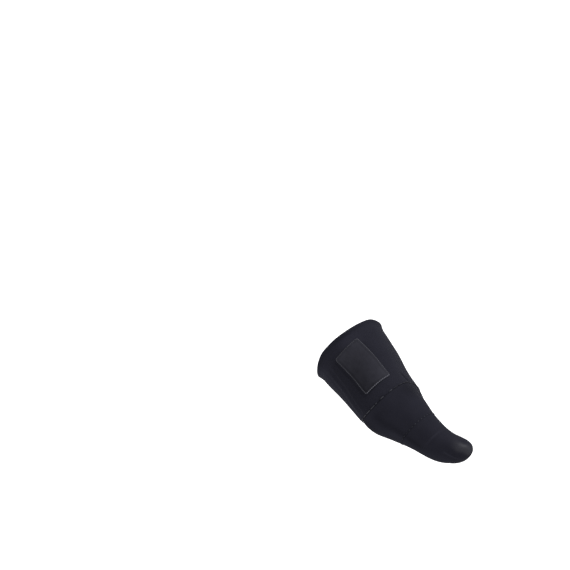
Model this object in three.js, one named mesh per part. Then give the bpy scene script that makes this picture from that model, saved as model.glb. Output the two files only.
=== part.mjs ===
// Bunion splint for a left foot: a sleeve of stretch fabric made of a midfoot band, a forefoot panel,
// a closed pocket for the big toe and a patch sewn on the band.
// Millimetres; +X towards the toes, +Y towards the little toe, +Z up.
// The origin is the centre of the rear mouth, where the foot goes in.
import * as THREE from "three";

// The foot that the sleeve is stretched over, one row per section across it.
// inner: y of the big-toe side; crown: y of the highest line; outer: y of the little-toe side
// web: y of the big toe's side that faces the second toe; top and sole: heights of the section
// brim: height of the outermost point on the little-toe side
// round: fullness of the slope from crown to brim
const FOOT = [
  { x: -8, inner: -35.5, crown: -7, outer: 35, web: -5, top: 26.9, sole: -27.5, brim: -11, round: 2 },
  { x: 10, inner: -38, crown: -12.5, outer: 38, web: -6, top: 23.4, sole: -28.9, brim: -13, round: 1.9 },
  { x: 28, inner: -42.5, crown: -18.5, outer: 42, web: -8, top: 18.4, sole: -28.8, brim: -15, round: 1.8 },
  { x: 46, inner: -47, crown: -24, outer: 45, web: -11, top: 12, sole: -29.7, brim: -16.5, round: 1.7 },
  { x: 62, inner: -46.5, crown: -27, outer: 44, web: -13, top: 8.5, sole: -29.9, brim: -17, round: 1.6 },
  { x: 76, inner: -44, crown: -28.5, outer: 42, web: -15, top: 7.3, sole: -25.3, brim: -17, round: 1.5 },
  { x: 90, inner: -42.5, crown: -29, outer: 40, web: -16, top: 4.3, sole: -21, brim: -16, round: 1.5 },
  { x: 104, inner: -42, crown: -29.5, outer: 39, web: -17, top: 3.4, sole: -18, brim: -15, round: 1.5 },
  { x: 118, inner: -41, crown: -29.5, outer: 38, web: -18, top: 6.2, sole: -14.1, brim: -13, round: 1.5 },
];

// Fullness of the other three quarters of a section, and of the toe's web side
const ROUND_TOP_INNER = 2.2;
const ROUND_SOLE_INNER = 2.5;
const ROUND_SOLE_OUTER = 2.3;
const ROUND_WEB_TOP = 2.2;
const ROUND_WEB_SOLE = 2.5;

// Fabric and seams
const FABRIC = 1.5;
const GAP = 0.3;
const LAP = 5;
const LAP_RISE = 0.2;
const LAP_RUN = 4;
const LAP_BEVEL = 0.4;
const LAP_BEVEL_RUN = 1.5;
const TUCK_RUN = 3;

// Rear mouth: how far forward its edge lies at each turn round the foot, in degrees from the crown
// towards the big-toe side; the edge thickens into a hem
const MOUTH = [
  { turn: -90, x: 0.2 },
  { turn: -15, x: 3.8 },
  { turn: 10, x: 2.6 },
  { turn: 35, x: 1.8 },
  { turn: 60, x: 0 },
  { turn: 85, x: -2.6 },
  { turn: 104, x: -4 },
  { turn: 125, x: -2.6 },
  { turn: 140, x: -1.4 },
  { turn: 160, x: -1 },
  { turn: 210, x: -0.3 },
  { turn: 270, x: 0.2 },
];
const HEM_THICK = 1.5;
const HEM_WIDTH = 7;

// Seam across the ball of the foot and seam at the root of the big toe
const BALL_SEAM = { x: 53.3, top_lean: 3, inner_lean: 1.2 };
const TOE_SEAM = { x: 85, top_lean: 1.5 };

// Opening for the four small toes: how far its edge runs back on the little-toe side,
// and how far round from the crown and the sole it starts, at the web of the big toe
const TOES_BACK = 26;
const TOES_START = 0.7;

// End of the toe pocket
const TIP_X = 125.3;
const TIP_RISE = 0.72;
const TIP_BLEND = 25;
const TIP_ROUND_TOP = 4.7;
const TIP_ROUND_SOLE = 18.7;
const TIP_ROUND_SIDE = 9.5;

// Patch on the inner side of the band
const PATCH_X = 27.5;
const PATCH_UP = 7.9;
const PATCH_LENGTH = 37.6;
const PATCH_WIDTH = 21.9;
const PATCH_CORNER = 1.8;
const PATCH_THICK = 0.6;
const PATCH_TILT = THREE.MathUtils.degToRad(6);
const PATCH_RAKE = 0.085;

// Divisions round the foot, and places along each piece as shares of its length
const AROUND = 72;
const BAND_STEPS = [0, 0.02, 0.05, 0.08, 0.11, 0.2, 0.34, 0.48, 0.62, 0.74, 0.83, 0.88, 0.92, 0.97, 1];
const PANEL_STEPS = [0, 0.08, 0.14, 0.18, 0.22, 0.3, 0.45, 0.6, 0.8, 1];
const POCKET_STEPS = [0, 0.1, 0.2, 0.3, 0.4, 0.5, 0.58, 0.66, 0.74, 0.82, 0.89, 0.95, 0.985];
const PATCH_ALONG = [-1, -0.75, -0.5, -0.25, 0, 0.25, 0.5, 0.75, 1];
const PATCH_ACROSS = [-1, -0.98, -0.91, -0.82, -0.6, -0.35, -0.1, 0.1, 0.35, 0.6, 0.82, 0.91, 0.98, 1];

// A column of a table at any place, on smooth curves through its rows
function curve(table, by, column, place) {
  const last = table.length - 1;
  const at = Math.min(Math.max(place, table[0][by]), table[last][by]);
  let i = 0;
  while (i < last - 1 && at > table[i + 1][by]) i += 1;
  const slope = (k) => {
    const before = table[Math.max(k - 1, 0)];
    const after = table[Math.min(k + 1, last)];
    return (after[column] - before[column]) / (after[by] - before[by]);
  };
  const step = table[i + 1][by] - table[i][by];
  const t = (at - table[i][by]) / step;
  const from = table[i][column] * (1 + 2 * t) * (1 - t) ** 2 + slope(i) * step * t * (1 - t) ** 2;
  const to = table[i + 1][column] * t * t * (3 - 2 * t) + slope(i + 1) * step * t * t * (t - 1);
  return from + to;
}

function foot(column, x) {
  return curve(FOOT, "x", column, x);
}

// Height of a section's widest place on the big-toe side
function waist(x) {
  const share = Math.min(Math.max((x - TIP_X + TIP_BLEND) / TIP_BLEND, 0), 1);
  const top = foot("top", x);
  const sole = foot("sole", x);
  return sole + (0.5 + (TIP_RISE - 0.5) * share) * (top - sole);
}

function ease(share) {
  const t = Math.min(Math.max(share, 0), 1);
  return t * t * (3 - 2 * t);
}

// How far a rounded end has closed in: 1 before it starts, 0 at the tip
function closing(x, length) {
  const t = Math.min(Math.max((x - TIP_X + length) / length, 0), 1);
  return Math.sqrt(1 - t * t);
}

function bend(value, fullness) {
  return Math.sign(value) * Math.abs(value) ** (2 / fullness);
}

// A point of the skin round the whole forefoot;
// angle 0 is the crown, a quarter turn the big-toe side, a half turn the sole
function footSkin(x, angle) {
  const s = Math.sin(angle);
  const c = Math.cos(angle);
  const inner = s >= 0;
  const upper = c >= 0;
  const outerRound = upper ? foot("round", x) : ROUND_SOLE_OUTER;
  const innerRound = upper ? ROUND_TOP_INNER : ROUND_SOLE_INNER;
  const fullness = inner ? innerRound : outerRound;
  const crown = foot("crown", x);
  const level = inner ? waist(x) : foot("brim", x);
  const reach = inner ? crown - foot("inner", x) : foot("outer", x) - crown;
  const height = upper ? foot("top", x) - level : level - foot("sole", x);
  return [x, crown - bend(s, fullness) * reach, level + bend(c, fullness) * height];
}

// The same round the big toe alone, closing to a point at the tip
function toeSkin(x, angle) {
  const s = Math.sin(angle);
  const c = Math.cos(angle);
  const inner = s >= 0;
  const upper = c >= 0;
  const webRound = upper ? ROUND_WEB_TOP : ROUND_WEB_SOLE;
  const innerRound = upper ? ROUND_TOP_INNER : ROUND_SOLE_INNER;
  const fullness = inner ? innerRound : webRound;
  const crown = foot("crown", x);
  const level = waist(x);
  const reach = inner ? crown - foot("inner", x) : foot("web", x) - crown;
  const height = upper ? foot("top", x) - level : level - foot("sole", x);
  const sideways = closing(x, TIP_ROUND_SIDE);
  const upright = closing(x, upper ? TIP_ROUND_TOP : TIP_ROUND_SOLE);
  return [x, crown - bend(s, fullness) * reach * sideways, level + bend(c, fullness) * height * upright];
}

// A point raised off a skin, square to it; place walks along the foot and angle round it
function raised(skin, place, angle, raise) {
  const at = (p, a) => new THREE.Vector3(...skin(p, a));
  const near = 0.01;
  const along = at(place + near, angle).sub(at(place - near, angle));
  const round = at(place, angle + near).sub(at(place, angle - near));
  return at(place, angle).addScaledVector(round.cross(along).normalize(), raise).toArray();
}

function mouthEdge(angle) {
  const turn = THREE.MathUtils.radToDeg(angle);
  const last = MOUTH[MOUTH.length - 1].turn;
  return curve(MOUTH, "turn", "x", turn > last ? turn - 360 : turn);
}

function ballSeam(angle) {
  return BALL_SEAM.x + BALL_SEAM.top_lean * Math.cos(angle) + BALL_SEAM.inner_lean * Math.sin(angle);
}

function toeSeam(angle) {
  return TOE_SEAM.x + TOE_SEAM.top_lean * Math.cos(angle);
}

// Front edge of the forefoot panel: the toe seam round to the web, then the opening for the small toes
function panelEdge(angle) {
  const past = (-Math.sin(angle) - TOES_START) / (1 - TOES_START);
  return toeSeam(angle) - GAP / 2 - TOES_BACK * ease(past);
}

// The forefoot panel narrows from the whole forefoot at the ball seam to the big toe at the toe seam
function panelSkin(x, angle) {
  const share = ease((x - BALL_SEAM.x) / (toeSeam(angle) - BALL_SEAM.x));
  const wide = footSkin(x, angle);
  const narrow = toeSkin(x, angle);
  return wide.map((value, k) => value + (narrow[k] - value) * share);
}

// Closed skin over rows of points that run round a loop, each cell split along its shorter diagonal;
// a row of one point is a pole
function closedSkin(rows, ringed) {
  const places = rows.flat().map((point) => new THREE.Vector3(...point));
  const starts = [];
  let total = 0;
  for (const row of rows) {
    starts.push(total);
    total += row.length;
  }
  const faces = [];
  const joins = ringed ? rows.length : rows.length - 1;
  for (let r = 0; r < joins; r += 1) {
    const next = (r + 1) % rows.length;
    const count = Math.max(rows[r].length, rows[next].length);
    for (let k = 0; k < count; k += 1) {
      const a = starts[r] + (k % rows[r].length);
      const b = starts[r] + ((k + 1) % rows[r].length);
      const c = starts[next] + (k % rows[next].length);
      const d = starts[next] + ((k + 1) % rows[next].length);
      const crossed = places[a].distanceTo(places[d]) > places[b].distanceTo(places[c]);
      if (a === b) faces.push(a, d, c);
      else if (c === d) faces.push(a, b, d);
      else if (crossed) faces.push(a, b, c, b, d, c);
      else faces.push(a, b, d, a, d, c);
    }
  }
  const geometry = new THREE.BufferGeometry();
  geometry.setFromPoints(places);
  geometry.setIndex(faces);
  geometry.computeVertexNormals();
  return geometry;
}

// One row per place of a wall's profile, each carried round the foot
function wallRows(skin, profile) {
  const angles = Array.from({ length: AROUND }, (_, k) => (2 * Math.PI * k) / AROUND);
  const column = (angle) => profile(angle).map(([place, raise]) => raised(skin, place, angle, raise));
  const columns = angles.map(column);
  return columns[0].map((_, r) => columns.map((points) => points[r]));
}

const splint = new THREE.Group();
splint.name = "bunion_splint";

function add(name, geometry, color, roughness) {
  const material = new THREE.MeshStandardMaterial({ color, roughness, metalness: 0 });
  const mesh = new THREE.Mesh(geometry, material);
  mesh.name = name;
  splint.add(mesh);
}

// Midfoot band: hemmed at the mouth, its front edge lifted a little over the panel it is sewn to
function bandProfile(angle) {
  const rear = mouthEdge(angle);
  const front = ballSeam(angle);
  const places = BAND_STEPS.map((share) => rear + (front - rear) * share);
  const lift = (x) => ease((x - front + LAP + LAP_RUN) / LAP_RUN);
  const hem = (x) => HEM_THICK * Math.max(1 - (x - rear) / HEM_WIDTH, 0) ** 2;
  const bevel = (x) => LAP_BEVEL * ease((x - front + LAP_BEVEL_RUN) / LAP_BEVEL_RUN);
  const outside = places.map((x) => [x, FABRIC + hem(x) + LAP_RISE * lift(x) - bevel(x)]);
  const inside = places.map((x) => [x, GAP * lift(x)]);
  return [...outside, ...inside.reverse()];
}
add("midfoot_band", closedSkin(wallRows(footSkin, bandProfile), true), 0x25252b, 0.85);

// Forefoot panel: its rear margin is tucked under the band's front edge
function panelProfile(angle) {
  const seam = ballSeam(angle);
  const rear = seam - LAP + GAP;
  const front = panelEdge(angle);
  const places = PANEL_STEPS.map((share) => rear + (front - rear) * share);
  const outside = places.map((x) => [x, FABRIC * ease((x - seam) / TUCK_RUN)]);
  const inside = outside.map(([x, raise]) => [x, raise - FABRIC]);
  return [...outside, ...inside.reverse()];
}
add("forefoot_panel", closedSkin(wallRows(panelSkin, panelProfile), true), 0x23232b, 0.85);

// Toe pocket: open at the toe's root, closed round the tip; its places are a quarter turn from root to tip
function pocketSkin(turn, angle) {
  const root = toeSeam(angle) + GAP / 2;
  return toeSkin(root + (TIP_X - root) * Math.sin(turn), angle);
}
function pocketProfile() {
  const turns = POCKET_STEPS.map((share) => (share * Math.PI) / 2);
  const outside = turns.map((turn) => [turn, FABRIC]);
  const inside = turns.map((turn) => [turn, 0]);
  return [...inside.reverse(), ...outside];
}
const [tipX, tipY, tipZ] = toeSkin(TIP_X, 0);
const insideTip = [[tipX, tipY, tipZ]];
const outsideTip = [[tipX + FABRIC, tipY, tipZ]];
const pocketRows = [insideTip, ...wallRows(pocketSkin, pocketProfile), outsideTip];
add("toe_pocket", closedSkin(pocketRows, false), 0x26262d, 0.8);

// Patch: a thin oblong with rounded corners that follows the band's inner side;
// walkedAngle is reached by walking round a section from its widest place, upwards for a positive walk
function walkedAngle(x, walk) {
  const turn = walk > 0 ? -0.01 : 0.01;
  let angle = Math.PI / 2;
  let left = Math.abs(walk);
  let here = new THREE.Vector3(...footSkin(x, angle));
  for (;;) {
    const there = new THREE.Vector3(...footSkin(x, angle + turn));
    const step = here.distanceTo(there);
    if (step >= left) return angle + (turn * left) / step;
    left -= step;
    angle += turn;
    here = there;
  }
}

function patchPoint(u, v, raise) {
  const x = PATCH_X + u * Math.cos(PATCH_TILT) + v * PATCH_RAKE;
  const walk = PATCH_UP + u * Math.sin(PATCH_TILT) + v;
  return raised(footSkin, x, walkedAngle(x, walk), raise);
}

// A loop along the patch at one height: over its face and back under it, shorter at the rounded corners
function patchRow(share) {
  const v = (share * PATCH_WIDTH) / 2;
  const past = Math.max(Math.abs(v) - PATCH_WIDTH / 2 + PATCH_CORNER, 0);
  const half = PATCH_LENGTH / 2 - PATCH_CORNER + Math.sqrt(PATCH_CORNER ** 2 - past ** 2);
  const places = PATCH_ALONG.map((along) => along * half);
  const face = places.map((u) => patchPoint(u, v, FABRIC + GAP + PATCH_THICK));
  const back = places.map((u) => patchPoint(u, v, FABRIC + GAP));
  return [...face, ...back.reverse()];
}
function patchEnd(side) {
  return [patchPoint(0, (side * PATCH_WIDTH) / 2, FABRIC + GAP + PATCH_THICK / 2)];
}
const patchRows = [patchEnd(-1), ...PATCH_ACROSS.map(patchRow), patchEnd(1)];
add("label_patch", closedSkin(patchRows, false), 0x303038, 0.7);

export default splint;
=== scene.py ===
# Bunion splint for a left foot: a sleeve of black stretch fabric with a closed pocket for the big toe.
# Sizes are in millimetres until a mesh is made; +X towards the toes, +Y towards the little toe, +Z up.
import math

import bpy
import numpy as np
from mathutils import Matrix, Vector


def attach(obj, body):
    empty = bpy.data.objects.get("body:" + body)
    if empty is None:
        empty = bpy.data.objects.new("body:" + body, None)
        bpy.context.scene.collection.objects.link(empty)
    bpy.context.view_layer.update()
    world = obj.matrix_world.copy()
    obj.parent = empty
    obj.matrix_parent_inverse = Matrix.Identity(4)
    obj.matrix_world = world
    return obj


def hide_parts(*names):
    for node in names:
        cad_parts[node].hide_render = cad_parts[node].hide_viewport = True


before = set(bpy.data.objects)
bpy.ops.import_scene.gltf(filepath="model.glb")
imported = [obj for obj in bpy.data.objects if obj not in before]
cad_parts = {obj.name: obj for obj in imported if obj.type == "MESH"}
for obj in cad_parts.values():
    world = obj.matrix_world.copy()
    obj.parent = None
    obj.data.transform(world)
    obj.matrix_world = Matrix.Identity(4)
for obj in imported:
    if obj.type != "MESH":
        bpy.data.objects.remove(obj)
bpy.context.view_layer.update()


# Midfoot band
# A tube of black stretch knit round the instep, with its rear edge turned in and sewn down as a hem.
# It is stretched over the foot and keeps its form, which is given here as sections across a foot.
METRES = 0.001
AROUND = 300
EDGE_STEP = 15

# inner, crown, outer and web are the y of the big-toe side, the highest line, the little-toe side and
# the big toe's side that faces the second toe. brim is the height of the little-toe side's outermost
# point, and round is the fullness of the curve above it.
FOOT = {
    "x": (-8, 10, 28, 46, 62, 76, 90, 104, 118),
    "inner": (-35.5, -38, -42.5, -47, -46.5, -44, -42.5, -42, -41),
    "crown": (-7, -12.5, -18.5, -24, -27, -28.5, -29, -29.5, -29.5),
    "outer": (35, 38, 42, 45, 44, 42, 40, 39, 38),
    "web": (-5, -6, -8, -11, -13, -15, -16, -17, -18),
    "top": (26.9, 23.4, 18.4, 12, 8.5, 7.3, 4.3, 3.4, 6.2),
    "sole": (-27.5, -28.9, -28.8, -29.7, -29.9, -25.3, -21, -18, -14.1),
    "brim": (-11, -13, -15, -16.5, -17, -17, -16, -15, -13),
    "round": (2, 1.9, 1.8, 1.7, 1.6, 1.5, 1.5, 1.5, 1.5),
}
ROUND_TOP_INNER = 2.2
ROUND_SOLE_INNER = 2.5
ROUND_SOLE_OUTER = 2.3
TIP_X = 125.3
TIP_RISE = 0.72
TIP_BLEND = 25

# The wall: its thickness, its lap over the panel, its rear edge by the turn round the foot, and its hem.
FABRIC = 1.5
GAP = 0.3
BAND_LENGTH = 55
BAND_ROWS = 64
BAND_TURNED = 1
LAP = 5
LAP_RISE = 0.2
LAP_RUN = 4
LAP_BEVEL = 0.7
LAP_BEVEL_RUN = 1.5
LAP_EDGE = 0.7
MOUTH = {
    "turn": (-90, -15, 10, 35, 60, 85, 104, 125, 140, 160, 210, 270),
    "x": (0.2, 3.8, 2.6, 1.8, 0, -2.6, -4, -2.6, -1.4, -1, -0.3, 0.2),
}
HEM_THICK = 1.5
HEM_WIDTH = 7
HEM_FOLD = 0.5
HEM_FOLD_WIDTH = 9
HEM_EDGE = 1
HEM_STITCH_BACK = 6.2
HEM_DENT = 0.15
HEM_DENT_WIDTH = 0.7

# The seam at the ball of the foot: its groove is full where the cosine of the turn is low.
BALL_SEAM_X = 53.3
BALL_SEAM_TOP_LEAN = 3
BALL_SEAM_INNER_LEAN = 1.2
BALL_STITCH_BACK = 0.3
BALL_DENT = 0.3
BALL_DENT_WIDTH = 0.8
BALL_SHALLOW = 0.4
BALL_DEEP_COSINE = 0.75
BALL_DEEP_RUN = 0.5
GATHER_WAVES = 0.95
GATHER_SWAY = 0.6
GATHER_SWAY_WAVES = 0.31
BAND_GATHER = 0.09
BAND_GATHER_RUN = 3.5

# Folds: a walk is a distance round the foot, and a span is its start, rise, stop and fall along the foot.
PULLED_LINES = {
    "walk": (-11, -13, -15.5, -18.5),
    "height": (0.32, -0.28, 0.32, -0.26),
    "width": (0.8, 0.7, 0.9, 0.9),
}
PULLED_SPAN = (4, 10, 54, 12)
FAR_FOLDS = {
    "turn": (-30, -62, -100, -135),
    "twist": (0.5, 0.7, -0.4, -0.6),
    "height": (0.3, -0.35, 0.35, -0.3),
    "width": (5, 6, 6, 7),
}
FAR_FOLDS_X = 28
FAR_FOLDS_SPAN = (8, 10, 52, 12)
LOOSE = 0.1
LOOSE_FOLDS = 3
LOOSE_SLANT = 0.09
LOOSE_WAVES = 0.16
LOOSE_SWAY = 2
PATCH_EDGE_WALK = -4.4
PATCH_EDGE_RISE = 0.1
PATCH_EDGE_X = 27
PATCH_DENT = 0.55
PATCH_DENT_WIDTH = 0.9
PATCH_DENT_SPAN = (5, 5, 48, 4)
TOP_FOLD_X = 50.5
TOP_FOLD_TURN = math.radians(-5)
TOP_FOLD_TWIST = math.radians(-0.9)
TOP_FOLD_WIDTH = 0.04
TOP_FOLD_SPAN = (45.5, 4, 56.5, 3)
TOP_FOLD_DEPTH = 0.9

# Marks: edges rubbed pale, a dark strip inside the mouth, paler cloth at the rear, and painted light and
# painted shade.
MOUTH_PALE = 0.7
MOUTH_PALE_WIDTH = 1
LAP_PALE = 0.5
LAP_PALE_WIDTH = 0.8
# Painted light: a pale patch over the upper rear of the band.
HEM_PAINTED_LIGHT = 1.5
HEM_PAINTED_LIGHT_SPAN = (2.5, 2.5, 16, 4)
HEM_PAINTED_LIGHT_WALK = 11
HEM_PAINTED_LIGHT_WIDTH = 8
# Painted light: a pale rim on the band's underside, towards the sole.
SOLE_PAINTED_LIGHT = 0.85
SOLE_PAINTED_LIGHT_TURN = math.radians(140)
SOLE_PAINTED_LIGHT_WIDTH = 0.25
REAR_PALE = 0.25
REAR_PALE_TO = 32
REAR_PALE_RUN = 28
MOUTH_DARK = 0.7
MOUTH_DARK_BACK = 2.2
MOUTH_DARK_WIDTH = 1.4
# Painted shade: a dark band along the side of the band, below the label patch.
SIDE_PAINTED_SHADE = 0.6
SIDE_PAINTED_SHADE_WALK = -7.4
SIDE_PAINTED_SHADE_WIDTH = 5
SIDE_PAINTED_SHADE_FROM = 4
SIDE_PAINTED_SHADE_RUN = 8
# Painted shadow: a dark line on the band just under the label patch's lower edge.
PATCH_PAINTED_SHADOW = 1.2
PATCH_PAINTED_SHADOW_UP = 0.8
PATCH_PAINTED_SHADOW_WIDTH = 0.5
PATCH_PAINTED_SHADOW_SPAN = (7, 2, 47, 2)
# Painted shade in the short crease over the instep.
TOP_FOLD_PAINTED_SHADE = 3

# The knit: loops that lean and swell, a cloudy dye, and fibres that stand out of the yarn.
LOOP_LEAN = 1.3
LOOP_ROUND = 3.4
LOOP_SWELL = 0.38
DYE_SCALE = 70.0
FIBRE_SCALE = 1500.0
KNIT_TONE = 0.2
KNIT_DYE = 0.5
KNIT_FIBRE = 0.8
KNIT_WEAR_AND_SHADE = 0.35
KNIT_BUMP = 0.35
KNIT_LOOP_BUMP = 0.75
KNIT_FIBRE_BUMP = 0.35
FIBRE_ROUGHNESS = 0.18
DYE_ROUGHNESS = 0.1
SHEEN_ROUGHNESS = 0.5
SHEEN_TINT = (0.75, 0.77, 0.9, 1)


def curve(table, by, column, place):
    """A column of a table at any place, on smooth curves through its rows."""
    places = np.array(table[by], float)
    values = np.array(table[column], float)
    last = len(places) - 1
    before = np.maximum(np.arange(last + 1) - 1, 0)
    after = np.minimum(np.arange(last + 1) + 1, last)
    slopes = (values[after] - values[before]) / (places[after] - places[before])
    at = np.clip(place, places[0], places[-1])
    i = np.clip(np.searchsorted(places, at, side="right") - 1, 0, last - 1)
    step = places[i + 1] - places[i]
    t = (at - places[i]) / step
    rise = values[i] * (1 + 2 * t) * (1 - t) ** 2 + slopes[i] * step * t * (1 - t) ** 2
    return rise + values[i + 1] * t * t * (3 - 2 * t) + slopes[i + 1] * step * t * t * (t - 1)


def foot(column, x):
    return curve(FOOT, "x", column, x)


def waist(x):
    """Height of a section's widest place on the big-toe side."""
    share = np.clip((x - TIP_X + TIP_BLEND) / TIP_BLEND, 0, 1)
    low = foot("sole", x)
    return low + (0.5 + (TIP_RISE - 0.5) * share) * (foot("top", x) - low)


def ease(share):
    t = np.clip(share, 0, 1)
    return t * t * (3 - 2 * t)


def within(place, span):
    """1 inside a span of places, easing to 0 outside it."""
    start, rise, stop, fall = span
    return ease((place - start) / rise) * ease((stop - place) / fall)


def hump(distance, width):
    """A soft bump: 1 at no distance, almost 0 at twice the width."""
    return np.exp(-((distance / width) ** 2))


def bend(value, fullness):
    return np.sign(value) * np.abs(value) ** (2 / fullness)


def foot_skin(x, angle):
    """A point round the whole forefoot; angle 0 is the crown, a quarter turn the big-toe side and
    a half turn the sole."""
    s, c = np.sin(angle), np.cos(angle)
    inner, upper = s >= 0, c >= 0
    inner_round = np.where(upper, ROUND_TOP_INNER, ROUND_SOLE_INNER)
    outer_round = np.where(upper, foot("round", x), ROUND_SOLE_OUTER)
    fullness = np.where(inner, inner_round, outer_round)
    crown = foot("crown", x)
    level = np.where(inner, waist(x), foot("brim", x))
    reach = np.where(inner, crown - foot("inner", x), foot("outer", x) - crown)
    height = np.where(upper, foot("top", x) - level, level - foot("sole", x))
    across = crown - bend(s, fullness) * reach
    return np.stack(np.broadcast_arrays(x, across, level + bend(c, fullness) * height), -1)


def normal_of(skin, place, angle):
    near = 0.01
    along = skin(place + near, angle) - skin(place - near, angle)
    round_it = skin(place, angle + near) - skin(place, angle - near)
    normal = np.cross(round_it, along)
    return normal / np.maximum(np.linalg.norm(normal, axis=-1, keepdims=True), 1e-12)


def raised(skin, place, angle, height):
    """Points lifted off a skin, square to it."""
    return skin(place, angle) + normal_of(skin, place, angle) * np.asarray(height)[..., None]


def turns(count):
    return np.radians(np.arange(count) * 360 / count)[None, :]


def half_turns(angle):
    """The angle from the crown, negative towards the little toe."""
    return (angle + math.pi) % (2 * math.pi) - math.pi


def edge_steps(length, turned):
    """Shares of a wall's length that follow an edge as it turns over."""
    return turned / length * (1 - np.cos(np.radians(np.arange(0, 90, EDGE_STEP))))


def steps(length, count, turned):
    """Shares of a wall's length, close together where its two edges turn over."""
    edge = edge_steps(length, turned)
    middle = np.linspace(turned, length - turned, count) / length
    return np.concatenate([edge, middle, 1 - edge[::-1]])[:, None]


def turned_edge(distance, thickness):
    """Share of the thickness left at a distance from a half-round edge."""
    left = np.clip(2 * distance / thickness, 0, 1)
    return np.sqrt(1 - (1 - left) ** 2)


def walk_round(points):
    """Distance round each section from its widest place on the big-toe side, upwards positive."""
    step = np.linalg.norm(np.roll(points, -1, axis=1) - points, axis=2)
    far = np.cumsum(step, axis=1) - step
    return far[:, [points.shape[1] // 4]] - far


def new_piece(name, points, faces):
    """A smooth mesh of points in millimetres, put into the scene."""
    mesh = bpy.data.meshes.new(name)
    mesh.from_pydata((np.asarray(points) * METRES).tolist(), [], faces)
    mesh.polygons.foreach_set("use_smooth", np.ones(len(faces), bool))
    piece = bpy.data.objects.new(name, mesh)
    bpy.context.scene.collection.objects.link(piece)
    return piece


def mark(piece, name, values):
    """Gives each point of a piece a value, for its material to read."""
    marked = piece.data.attributes.new(name, "FLOAT", "POINT")
    marked.data.foreach_set("value", np.asarray(values, np.float32))


def cloth(name, rows, marks, ends=()):
    """A closed piece of cloth from rows of points round a loop, each joined to the next.
    The last row meets the first, or the two ends close on points. marks are named shades of its rows."""
    count, around = rows.shape[:2]
    points = np.concatenate([rows.reshape(-1, 3), np.reshape(ends, (-1, 3))])
    place = np.arange(count * around).reshape(count, around)
    following = place[1:] if ends else np.roll(place, -1, axis=0)
    here = place[:-1] if ends else place
    quads = np.stack([here, np.roll(here, -1, 1), np.roll(following, -1, 1), following], -1).reshape(-1, 4)
    gap = np.linalg.norm(np.roll(rows, -1, axis=0) - rows, axis=2).mean(axis=1)
    far = np.concatenate([[0], np.cumsum(gap)]) / gap.sum()
    column, row = np.meshgrid(np.arange(around) / around, np.arange(len(here)))
    low, high = far[row], far[row + 1]
    wide = column + 1 / around
    flat = np.stack([column, low, wide, low, wide, high, column, high], -1).reshape(-1, 2)
    faces = quads.tolist()
    if ends:
        first, last = count * around, count * around + 1
        turn = np.arange(around)
        ahead = np.roll(turn, -1)
        start, stop = place[0], place[-1]
        faces += np.stack([np.full(around, first), start[ahead], start[turn]], -1).tolist()
        faces += np.stack([stop[turn], stop[ahead], np.full(around, last)], -1).tolist()
        share, top = turn / around, np.full(around, far[count - 1])
        none = np.zeros(around)
        flat = np.concatenate([
            flat,
            np.stack([share, none, share + 1 / around, none, share, none], -1).reshape(-1, 2),
            np.stack([share, top, share + 1 / around, top, share, none + 1], -1).reshape(-1, 2),
        ])
    piece = new_piece(name, points, faces)
    piece.data.uv_layers.new(name="OFBake").uv.foreach_set("vector", flat.astype(np.float32).ravel())
    for kind, values in marks.items():
        mark(piece, kind, np.concatenate([values.ravel(), np.zeros(len(points) - values.size)]))
    piece.data.update()
    return piece


def mouth_edge(angle):
    turn = (np.degrees(angle) + 90) % 360 - 90
    return curve(MOUTH, "turn", "x", turn)


def ball_seam(angle):
    return BALL_SEAM_X + BALL_SEAM_TOP_LEAN * np.cos(angle) + BALL_SEAM_INNER_LEAN * np.sin(angle)


def seam_depth(angle):
    """The groove at the ball seam: full on the big-toe side and the sole, shallow over the instep."""
    return BALL_SHALLOW + (1 - BALL_SHALLOW) * ease((BALL_DEEP_COSINE - np.cos(angle)) / BALL_DEEP_RUN)


def gathers(walk):
    """Small uneven gathers along the ball seam."""
    return np.sin(walk * GATHER_WAVES + GATHER_SWAY * np.sin(walk * GATHER_SWAY_WAVES))


def top_fold(x, angle):
    """A short crease over the instep, just behind the ball seam."""
    off = half_turns(angle) - TOP_FOLD_TURN - TOP_FOLD_TWIST * (x - TOP_FOLD_X)
    return hump(off, TOP_FOLD_WIDTH) * within(x, TOP_FOLD_SPAN)


def above_patch_edge(x, walk):
    """Distance up from a line along the lower edge of the label patch."""
    return walk - PATCH_EDGE_WALK - PATCH_EDGE_RISE * (x - PATCH_EDGE_X)


def band_creases(x, angle, walk):
    """Folds of the band: lines pulled along it, slanting folds in the slack cloth of the little-toe side,
    gathers at the seam, and dents at the hem, the stitches, the patch and the instep's crease."""
    to_mouth = x - mouth_edge(angle)
    to_seam = ball_seam(angle) - x
    pulled = sum(height * hump(walk - place, width) for place, height, width in zip(*PULLED_LINES.values()))
    far = sum(
        height * hump(np.degrees(half_turns(angle)) - turn - twist * (x - FAR_FOLDS_X), width)
        for turn, twist, height, width in zip(*FAR_FOLDS.values())
    )
    folds = pulled * within(x, PULLED_SPAN) + far * within(x, FAR_FOLDS_SPAN)
    slack = np.sin(angle * LOOSE_FOLDS + x * LOOSE_SLANT)
    slack = slack * np.sin(x * LOOSE_WAVES + np.sin(angle * LOOSE_SWAY))
    gathered = BAND_GATHER * gathers(walk) * np.exp(-to_seam / BAND_GATHER_RUN)
    dents = (
        HEM_DENT * hump(to_mouth - HEM_STITCH_BACK, HEM_DENT_WIDTH)
        + BALL_DENT * seam_depth(angle) * hump(to_seam - BALL_STITCH_BACK, BALL_DENT_WIDTH)
        + PATCH_DENT * hump(above_patch_edge(x, walk), PATCH_DENT_WIDTH) * within(x, PATCH_DENT_SPAN)
        + TOP_FOLD_DEPTH * top_fold(x, angle)
    )
    return folds + LOOSE * slack + gathered - dents


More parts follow.
